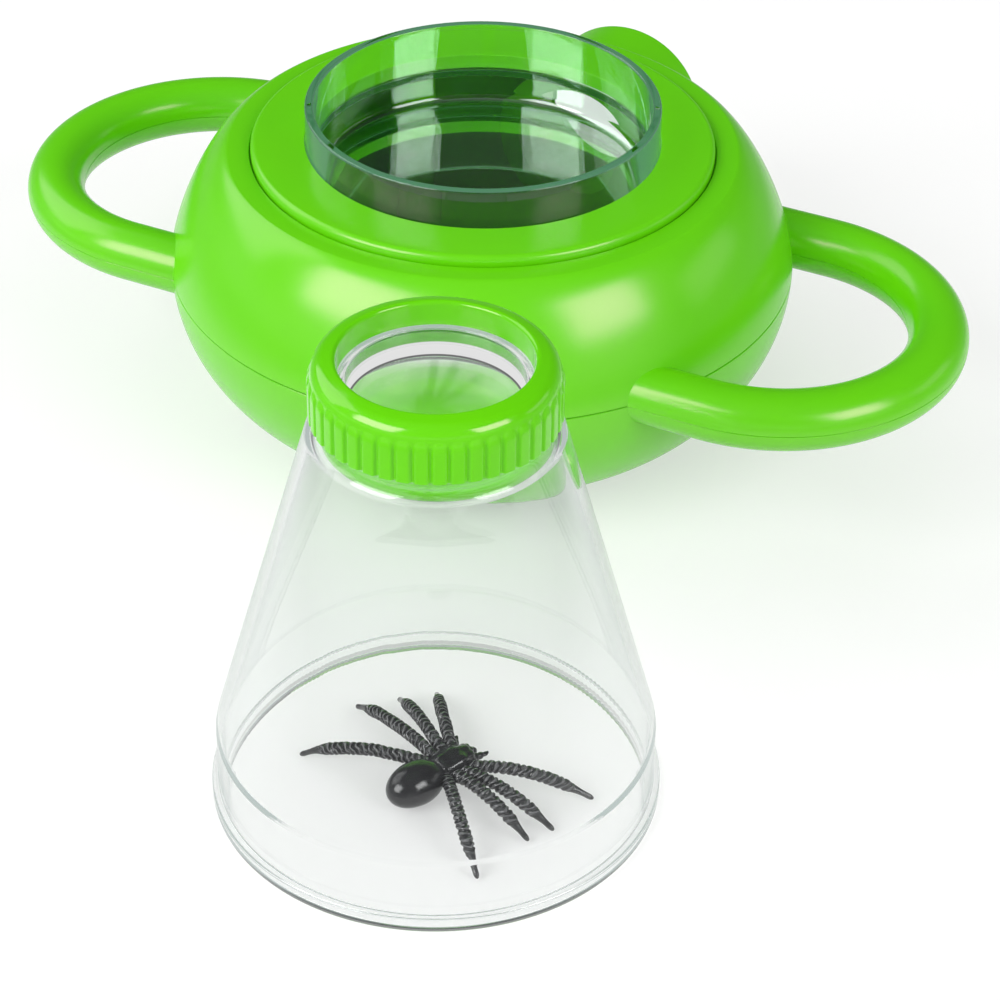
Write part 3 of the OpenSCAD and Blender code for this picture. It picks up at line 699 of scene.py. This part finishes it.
def handle(side, half):
    """One half-round bar. The section is half a circle of HANDLE_R with a flat face on
    the seam that steps back at both edges; half is 1 above the seam and -1 below."""
    edge = math.asin((HANDLE_GAP + HANDLE_BEVEL) / HANDLE_R)
    t = np.linspace(edge, np.pi - edge, 40)
    near, deep = HANDLE_R - HANDLE_BEVEL, HANDLE_R - HANDLE_DEPTH
    a = np.concatenate([HANDLE_R * np.cos(t), [-near, -deep, -deep, deep, deep, near]])
    b = np.concatenate([HANDLE_R * np.sin(t), [HANDLE_GAP, HANDLE_GAP, 0, 0, HANDLE_GAP, HANDLE_GAP]]) * half
    s = np.linspace(0, 1, 24)[:, None]
    turn = np.linspace(-np.pi / 2, np.pi / 2, 150)[:, None]
    ends = np.sqrt(wall_radius(SEAM_Z + b, WALL / 2) ** 2 - (LOOP_R + a) ** 2)
    straight = ends + (LOOP_X - ends) * s
    flat = np.ones_like(s) * (LOOP_R + a)
    x = np.concatenate([straight[:-1], LOOP_X + (LOOP_R + a) * np.cos(turn), straight[::-1][1:]])
    y = np.concatenate([-flat[:-1], (LOOP_R + a) * np.sin(turn), flat[1:]])
    z = SEAM_Z + b + 0 * x
    points = np.stack([side * x, y, z], -1)
    rows, columns = x.shape
    faces = quads(rows, columns, False, True).tolist()
    faces += [list(range(columns)), list(range((rows - 1) * columns, rows * columns))]
    return points.reshape(-1, 3), faces


# %% Upper shell
outer = bulge(BODY_R, SEAM_Z + SEAM_GAP + SEAM_BEVEL, TOP_R, TOP_Z, SHOULDER_FULLNESS)
inner = bulge(BODY_R - WALL, SEAM_Z, TOP_R - 0.6 * WALL, LEDGE_Z - WALL, SHOULDER_FULLNESS, 40)
upper = softened([(BODY_R - WALL, SEAM_Z, 0), (BODY_R - SEAM_DEPTH, SEAM_Z, 0),
                  (BODY_R - SEAM_DEPTH, SEAM_Z + SEAM_GAP, 0), (BODY_R - SEAM_BEVEL, SEAM_Z + SEAM_GAP, 0),
                  *plain(outer),
                  (RING_R + RING_GAP, TOP_Z, 0.25), (RING_R + RING_GAP, LEDGE_Z, 0.1),
                  (MOUTH_R, LEDGE_Z, 0.2), (MOUTH_R, LEDGE_Z - WALL, 0), *plain(inner[::-1][:-1])])
wall = drilled(mesh_of("upper_wall", [turned(upper)]), [EYE_HOLE])
bore, boss_top = SCREW_R + FIT, LEDGE_Z - WALL / 2
boss = [(bore, POST_Z), (BOSS_R, POST_Z), (BOSS_R, boss_top), (bore, boss_top)]
bosses = [turned(boss, 48, x, y) for x, y in SCREW_PLACES]
piece("upper_shell_moulding", [arrays_of(wall), handle(1, 1), handle(-1, 1), *bosses],
      green_shell, "station", "upper_shell")


# %% [markdown]
# The lower shell is a bowl on a flat foot. Four posts stand in it, each with a
# deep counterbore for a screw that is put in from below. A post's lower end
# follows the bowl, as the handles' roots follow the wall.

# %% Lower shell
def post(x, y):
    """A tube whose lowest points are moved to the bowl's curve, a little inside."""
    outline = [(POST_BORE, 0), (POST_R, 0), (POST_R, POST_Z), (POST_NECK, POST_Z),
               (POST_NECK, SCREW_SEAT), (POST_BORE, SCREW_SEAT)]
    p, f = turned(outline, 64, x, y)
    r = np.clip((np.hypot(p[:, 0], p[:, 1]) - FOOT_R) / (BODY_R - FOOT_R), 0, 1)
    on_bowl = SEAM_Z - SEAM_Z * (1 - r ** BOWL_FULLNESS) ** (1 / BOWL_FULLNESS) + POST_ROOT
    p[:, 2] = np.where(p[:, 2] < 1, on_bowl, p[:, 2])
    return p, f


outer = bulge(BODY_R, SEAM_Z - SEAM_GAP - SEAM_BEVEL, FOOT_R, 0, BOWL_FULLNESS)
inner = bulge(BODY_R - WALL, SEAM_Z, FOOT_R, WALL, BOWL_FULLNESS, 40)
lower = softened([(0, 0, 0), *plain(outer[::-1]), (BODY_R - SEAM_BEVEL, SEAM_Z - SEAM_GAP, 0),
                  (BODY_R - SEAM_DEPTH, SEAM_Z - SEAM_GAP, 0), (BODY_R - SEAM_DEPTH, SEAM_Z, 0),
                  (BODY_R - WALL, SEAM_Z, 0), *plain(inner[1:]), (0, WALL, 0)])
holes = [rod(DRILL_R, -1, 16, x, y, 64) for x, y in SCREW_PLACES]
wall = drilled(mesh_of("lower_wall", [turned(lower)]), [EYE_HOLE, *holes])
posts = [post(x, y) for x, y in SCREW_PLACES]
piece("lower_shell_moulding", [arrays_of(wall), handle(1, -1), handle(-1, -1), *posts],
      green_shell, "station", "lower_shell")

# %% [markdown]
# ## The ring, the dish and the eyepiece
# The ring lies in the recess of the upper shell with a narrow gap round it, and
# its outer edge is well rounded. The clear dish has a flange under the ring, so
# that it can't be lifted out.

# %% Ring and dish
bore = DISH_R + FIT
ring = softened([(bore, LEDGE_Z, 0), (RING_R, LEDGE_Z, 0.1),
                 (RING_R, RING_TOP, 1.1), (bore, RING_TOP, 0.2)], 12)
piece("seat_ring_moulding", [turned(ring)], green_shell, "station", "seat_ring")

dish_under, inside = DISH_FLOOR - DISH_WALL, DISH_R - DISH_WALL
flange_r, flange_low, flange_high = DISH_R + DISH_FLANGE_W, LEDGE_Z - DISH_WALL, LEDGE_Z - SEAT_GAP
dish = softened([(0, dish_under, 0), (DISH_R, dish_under, 3.1), (DISH_R, flange_low, 0.15),
                 (flange_r, flange_low, 0.2), (flange_r, flange_high, 0.2), (DISH_R, flange_high, 0),
                 (DISH_R, DISH_RIM, 0.45), (inside, DISH_RIM, 0.45),
                 (inside, DISH_FLOOR, 1.5), (0, DISH_FLOOR, 0)], 9)
piece("viewing_dish_moulding", [turned(dish)], dish_clear, "station", "viewing_dish")

# %% Eyepiece tube, its ring and its lens
length, seat = EYE_END - EYE_IN, EYE_END - EYE_IN - EYE_SEAT
flange_r = EYE_R + EYE_FLANGE_W
tube = softened([(EYE_BORE, 0, 0.2), (flange_r, 0, 0.3), (flange_r, EYE_FLANGE_T, 0.2),
                 (EYE_R, EYE_FLANGE_T, 0), (EYE_R, length, 1.2), (EYE_SOCKET_R, length, 0.5),
                 (EYE_SOCKET_R, seat, 0), (EYE_BORE, seat, 0.2)], 10)
piece("eyepiece_tube_moulding", [on_eyepiece(turned(tube, 160), EYE_IN)],
      green_shell, "station", "eyepiece_tube")
keeper = softened([(KEEPER_BORE, 0, 0.1), (EYE_LENS_R, 0, 0.1),
                   (EYE_LENS_R, KEEPER_H, 0.3), (KEEPER_BORE, KEEPER_H, 0.6)])
piece("eyepiece_ring_moulding", [on_eyepiece(turned(keeper, 160), EYE_END - EYE_SEAT + KEEPER_UP)],
      green_gloss, "station", "eyepiece_ring")


def lens_face(radius, sag, steps=28):
    """Height of a ball's cap over its rim: the ball's radius is (radius squared
    plus sag squared) over twice the sag."""
    r = np.linspace(0, radius, steps)
    ball = (radius ** 2 + sag ** 2) / (2 * sag)
    return r, np.sqrt(ball ** 2 - r ** 2) - (ball - sag)


r, h = lens_face(EYE_LENS_R - EYE_RIM_W, EYE_LENS_SAG)
lens_outline = [*zip(r, -h), (EYE_LENS_R, 0), (EYE_LENS_R, EYE_LENS_EDGE),
                *zip(r[::-1], EYE_LENS_EDGE + h[::-1])]
piece("eyepiece_lens_moulding", [on_eyepiece(turned(lens_outline, 128), EYE_END - EYE_SEAT + EYE_LENS_UP)],
      lens_clear, "station", "eyepiece_lens", 50)

# %% [markdown]
# The mirror, its carrier and the screws are flat or plainly turned, and their
# measured solids are right as they are. They only need their finishes.

# %% Finishes of the measured solids that stay
for name, finish in (("mirror", mirror), ("mirror_carrier", green_shell), ("shell_screws", steel)):
    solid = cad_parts[name]
    solid.data.materials.clear()
    solid.data.materials.append(finish)
    print(name, "keeps its solid")

# %% [markdown]
# ## The jar
# One clear moulding: a foot flange, an upright skirt, a small step, a long cone
# and a rounded shoulder with the neck on it. The wall has almost the same thickness
# all the way, so that light passes it nearly straight and bends most at the edges.

# %% Jar
JAR = dict(x=JAR_X, y=JAR_Y, around=256)
inside, step = SKIRT_R - JAR_WALL, JAR_STEP
slope = (SKIRT_R - step - SHOULDER_R) / (SHOULDER_Z - SKIRT_Z)
side = JAR_WALL / math.cos(math.atan(slope))
neck_bore, neck_end, under = NECK_R - NECK_WALL, NECK_TOP - SEAT_GAP, SHOULDER_Z - JAR_WALL
flange_r = SKIRT_R + FLANGE_W
jar = softened([(inside, 0, 0.15), (flange_r, 0, 0.7), (flange_r, FLANGE_T, 0.7), (SKIRT_R, FLANGE_T, 0.25),
                (SKIRT_R, SKIRT_Z - 0.5, 0.5), (SKIRT_R - step, SKIRT_Z, 0.5), (SHOULDER_R, SHOULDER_Z, 3.0),
                (NECK_R, SHOULDER_Z, 0.3), (NECK_R, neck_end, 0.2), (neck_bore, neck_end, 0.2),
                (neck_bore, under, 0.3), (SHOULDER_R - side + slope * JAR_WALL, under, 1.5),
                (inside - step, SKIRT_Z, 0.5), (inside, SKIRT_Z - 0.5, 0.5)], 8)
piece("jar_moulding", [turned(jar, **JAR)], clear, "jar", "jar_cone", 50)

# %% [markdown]
# ## The cap
# The cap's band carries wide ribs with narrow gaps and rounded upper ends. Above
# them a round dome rises to a small rounded crest round the open window.

# %% Cap with its ribs
RIB_RISE, RIB_TOP, RIB_END, DOME_R = 0.42, BAND_TOP, 1.5, 2.7
GAP_HALF, SIDE_START, SIDE_WIDTH, SIDE_DROP = 0.32, 0.2, 0.6, 0.4
BAND_DEPTH, BAND_FADE = 0.5, 0.3


def arc(x, z, radius, start, end, steps=14):
    """Points of a circle's arc between two angles in radians."""
    t = np.linspace(start, end, steps)
    return np.stack([x + radius * np.cos(t), z + radius * np.sin(t)], -1)


def ribbed(profile, steps=16):
    """Turns the cap's profile, which is drawn at the bottom of the gaps, and adds
    the ribs. A rib's height falls to 0 near the gaps, by a smooth bump of the
    distance to the nearest gap, and at its upper end, by a quarter of a cosine.
    The upper end is rounded, because it lies lower beside the gaps."""
    profile = np.asarray(profile)
    around = RIBS * steps
    t = np.linspace(0, 2 * np.pi, around, endpoint=False)[:, None]
    r, z = profile[None, :, 0], profile[None, :, 1]
    pitch = 2 * np.pi / RIBS
    away = np.abs((t + pitch / 2) % pitch - pitch / 2) * CAP_R
    gap = np.exp(-(away / GAP_HALF) ** 3)
    side = np.clip((away - SIDE_START) / SIDE_WIDTH, 0, 1)
    way_up = (z - RIB_TOP + RIB_END + SIDE_DROP * (1 - side)) / RIB_END
    end = np.cos(np.clip(way_up, 0, 1) * np.pi / 2)
    on_band = np.clip((r - (CAP_R - RIB_RISE - BAND_DEPTH)) / BAND_FADE, 0, 1)
    r = r + RIB_RISE * (1 - gap) * end * on_band
    points = np.stack([JAR_X + r * np.cos(t), JAR_Y + r * np.sin(t), z + 0 * t], -1)
    return points.reshape(-1, 3), quads(around, profile.shape[0], True, True)


base = CAP_R - RIB_RISE
dome_x, dome_z = base - DOME_R, BAND_TOP - 0.3
reach = math.hypot(CREST_X - dome_x, CREST_Z - dome_z)
tip = math.atan2(CREST_Z - dome_z, CREST_X - dome_x) - math.acos((DOME_R - CREST_R) / reach)
band = [(base, z, 0) for z in np.linspace(CAP_FOOT + 0.4, dome_z - 0.1, 60)]
cap = softened([(CAP_BORE, CAP_FOOT, 0.15), (base, CAP_FOOT, 0.12), *band,
                *plain(arc(dome_x, dome_z, DOME_R, 0, tip, 30)),
                *plain(arc(CREST_X, CREST_Z, CREST_R, tip, np.pi)),
                (WINDOW_R, CAP_ROOF + SEAT_GAP, 0), (CAP_BORE, CAP_ROOF + SEAT_GAP, 0)])
piece("cap_moulding", [ribbed(cap)], green_gloss, "cap", "cap_ring", 40)

# %% [markdown]
# ## The magnifier cup
# A clear sleeve hangs by a thin flange between the cap and the neck, and its
# floor is the magnifying lens, bulged on both faces.

# %% Magnifier cup
r, h = lens_face(SLEEVE_R, LENS_SAG, 40)
low, high = LENS_TOP - LENS_EDGE, LENS_TOP
inner_r = SLEEVE_R - SLEEVE_WALL
cut_off = r < inner_r
cup = softened([*[(a, low - b, 0) for a, b in zip(r[:-1], h[:-1])],
                (SLEEVE_R, low, 0.15), (SLEEVE_R, NECK_TOP, 0.1),
                (NECK_R, NECK_TOP, 0.15), (NECK_R, CAP_ROOF, 0.15), (inner_r, CAP_ROOF, 0.25),
                *[(a, high + b, 0) for a, b in zip(r[cut_off][::-1], h[cut_off][::-1])]])
piece("magnifier_cup", [turned(cup, **JAR)], cup_clear, "lens_cup", "cap_lens", 50)

# %% [markdown]
# ## The toy spider
# The legs follow the same rule as in the measured model. Their roots are evenly
# spaced on both sides of the body. Each leg has a heading, counted from the
# spider's own +X, and a share of the longest reach. Halfway it is bowed a little
# backwards and raised to its knee. A leg is thin and bare at its tip, and then
# swells to its full thickness. Its ridges are arches that are added to the radius,
# lean a little round the leg and aren't quite even.

# %% Middle lines of the legs
SPIDER_X, SPIDER_Y, SPIDER_TURN = JAR_X + 2.5, JAR_Y + 0.5, math.radians(-25)
LEG_REACH, LEG_R, LEG_TIP_R, KNEE_Z, ROOT_Z = 22.0, 0.95, 0.45, 4.4, 3.4
ROOT_X, ROOT_PITCH, ROOT_BACK, LEG_BOW = 1.9, 1.4, 1.8, 0.5
HEADINGS = np.radians([215, 180, 165, 150, -25, 5, 15, 40])
SHARES = np.array([1, 1, 0.9, 0.85, 0.9, 0.75, 0.8, 0.9])
LEGS_A_SIDE, LOWEST, SWELL_START, SWELL_LENGTH = 4, 0.02, 0.06, 0.20


def leg_line(k, rows):
    """Places (x, y, height, radius) from the tip to the root of leg k. The middle
    line is a parabola through the root, the knee and the tip. The radius rises
    smoothly over a stretch behind the tip."""
    across = -ROOT_X if k < LEGS_A_SIDE else ROOT_X
    root = np.array([across, (k % LEGS_A_SIDE - ROOT_BACK) * ROOT_PITCH, ROOT_Z])
    way = np.array([math.cos(HEADINGS[k]), math.sin(HEADINGS[k]), 0]) * SHARES[k] * LEG_REACH
    tip = root * [1, 1, 0] + way + [0, 0, LEG_TIP_R]
    knee = (root + tip) / 2 * [1, 1, 0] + [0, -LEG_BOW, KNEE_Z]
    pull = 2 * knee - (root + tip) / 2
    s = np.linspace(1, 0, rows)[:, None]
    line = (1 - s) ** 2 * root + 2 * s * (1 - s) * pull + s ** 2 * tip
    c, d = math.cos(SPIDER_TURN), math.sin(SPIDER_TURN)
    x, y = line[:, 0] * c - line[:, 1] * d, line[:, 0] * d + line[:, 1] * c
    swell = np.clip((1 - s[:, 0] - SWELL_START) / SWELL_LENGTH, 0, 1)
    radius = LEG_TIP_R + (LEG_R - LEG_TIP_R) * swell ** 2 * (3 - 2 * swell)
    return np.stack([x, y, line[:, 2], radius], -1)


print(len(HEADINGS), "legs")


# %% Legs as ridged tubes
RIDGE_LEAN, RIDGE_WOBBLE, RIDGE_POWER, RIDGE_MIDDLE = 0.8, 0.16, 0.9, 0.7
RIDGE_FADE, TIP_LENGTH = 0.06, 2.2


def ridged_tube(k, rows=270, columns=24, pitch=1.0, rise=0.36, bare=0.16):
    """A tube round a leg's middle line, closed by a round tip. A ridge is half a
    wave, so that the grooves between two of them are sharp. bare is the share of
    the length without ridges, at the tip."""
    path = leg_line(k, rows)
    p, r = path[:, :3], path[:, 3]
    t = np.concatenate([[0], np.cumsum(np.linalg.norm(np.diff(p, axis=0), axis=1))])
    along = np.gradient(p, t, axis=0)
    along /= np.linalg.norm(along, axis=1)[:, None]
    side = np.cross([0, 0, 1.0], along)
    side /= np.linalg.norm(side, axis=1)[:, None]
    top = np.cross(along, side)
    a = np.linspace(0, 2 * np.pi, columns, endpoint=False)[None, :]
    turns = t[:, None] / pitch + RIDGE_LEAN * np.sin(a) + RIDGE_WOBBLE * np.sin(3 * a + 2 * t[:, None])
    ridge = np.abs(np.sin(turns * np.pi)) ** RIDGE_POWER
    share = np.clip((t / t[-1] - bare) / RIDGE_FADE, 0, 1)[:, None]
    tip = np.sqrt(np.clip(1 - (1 - np.clip(t / (TIP_LENGTH * r[0]), 0, 1)) ** 2, 0, 1))[:, None]
    radius = r[:, None] * tip * (1 + share * rise * (ridge - RIDGE_MIDDLE))
    out = np.cos(a)[..., None] * side[:, None] + np.sin(a)[..., None] * top[:, None]
    points = p[:, None] + radius[..., None] * out
    points[:, :, 2] = np.maximum(points[:, :, 2], LOWEST)
    points = np.concatenate([points, np.broadcast_to(p[-1], (1, columns, 3))])
    marks = np.stack([turns, share + 0 * turns], -1)
    marks = np.concatenate([marks, marks[-1:]])
    points = points.reshape(-1, 3) + [SPIDER_X, SPIDER_Y, 0]
    return points, quads(rows + 1, columns, False, True), marks.reshape(-1, 2)


def blob(middle, halves, turn=0.0, tilt=0.0, lumps=None, rows=26, columns=40):
    """An egg: a ball's points times three half sizes (across, along, up), turned
    about Z and tilted. lumps is a function of the two angles that scales it."""
    v = np.linspace(0, np.pi, rows)[:, None]
    u = np.linspace(0, 2 * np.pi, columns, endpoint=False)[None, :]
    scale = 1 if lumps is None else lumps(u, v)
    x, y, z = np.sin(v) * np.cos(u) * scale, np.cos(v) * scale + 0 * u, np.sin(v) * np.sin(u) * scale
    x, y, z = x * halves[0], y * halves[1], z * halves[2]
    y, z = y * math.cos(tilt) - z * math.sin(tilt), y * math.sin(tilt) + z * math.cos(tilt)
    x, y = x * math.cos(turn) - y * math.sin(turn), x * math.sin(turn) + y * math.cos(turn)
    x, y, z = x + middle[0] + SPIDER_X, y + middle[1] + SPIDER_Y, np.maximum(z + middle[2], LOWEST)
    points = np.stack([x, y, z], -1)
    return points.reshape(-1, 3), quads(rows, columns, False, True)


# %% The whole spider
FACING = math.radians(-24)


def shield(u, v):
    """Scales the thorax: shallow lobes round it and low waves along it."""
    return 1 + 0.05 * np.cos(7 * u) * np.sin(v) ** 2 + 0.035 * np.cos(9 * v)


def knuckle(u, v):
    """Scales a leg's root: low waves along it."""
    return 1 + 0.04 * np.cos(11 * v)


def chain(x, y, heading, length, widest, narrowest, count=4):
    """Eggs in a row on a heading in degrees, each lower and smaller than the last."""
    a, parts = math.radians(heading), []
    for n in range(count):
        s = n / (count - 1)
        size = widest + (narrowest - widest) * s
        place = (x + length * s * math.cos(a), y + length * s * math.sin(a), ROOT_Z - 0.7 * s)
        parts.append(blob(place, (size, 1.1 - 0.3 * s, size), a - math.pi / 2))
    return parts


body_parts = [
    blob((-3.1, -6.5, 3.5), (3.65, 5.1, 3.45), FACING, rows=64, columns=96),
    blob((-0.2, 0.2, 3.35), (3.0, 4.3, 2.5), FACING, 0.05, shield, 64, 112),
    blob((-1.8, -3.2, 3.3), (1.3, 1.7, 1.3), FACING),
    *chain(-1.1, 3.0, 113, 4.0, 1.0, 0.36), *chain(1.6, 2.4, 66, 3.4, 1.0, 0.36),
    *chain(-0.3, 4.1, 90, 1.3, 0.85, 0.7, 2), *chain(0.8, 4.0, 85, 1.2, 0.85, 0.7, 2),
    blob((0.3, 2.1, 4.6), (1.2, 1.4, 0.9)),
    *[blob(leg_line(k, 12)[-2, :3], (1.05, 1.15, 0.95), lumps=knuckle, rows=30, columns=32)
      for k in range(len(HEADINGS))],
]
legs = [ridged_tube(k) for k in range(len(HEADINGS))]
piece("toy_spider_moulding", body_parts + legs, black_rubber, "spider", "toy_spider", 60)

# %% Sizes of the result
low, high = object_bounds()
print("visual box, mm:", [round(v * 1000, 1) for v in (*low, *high)])
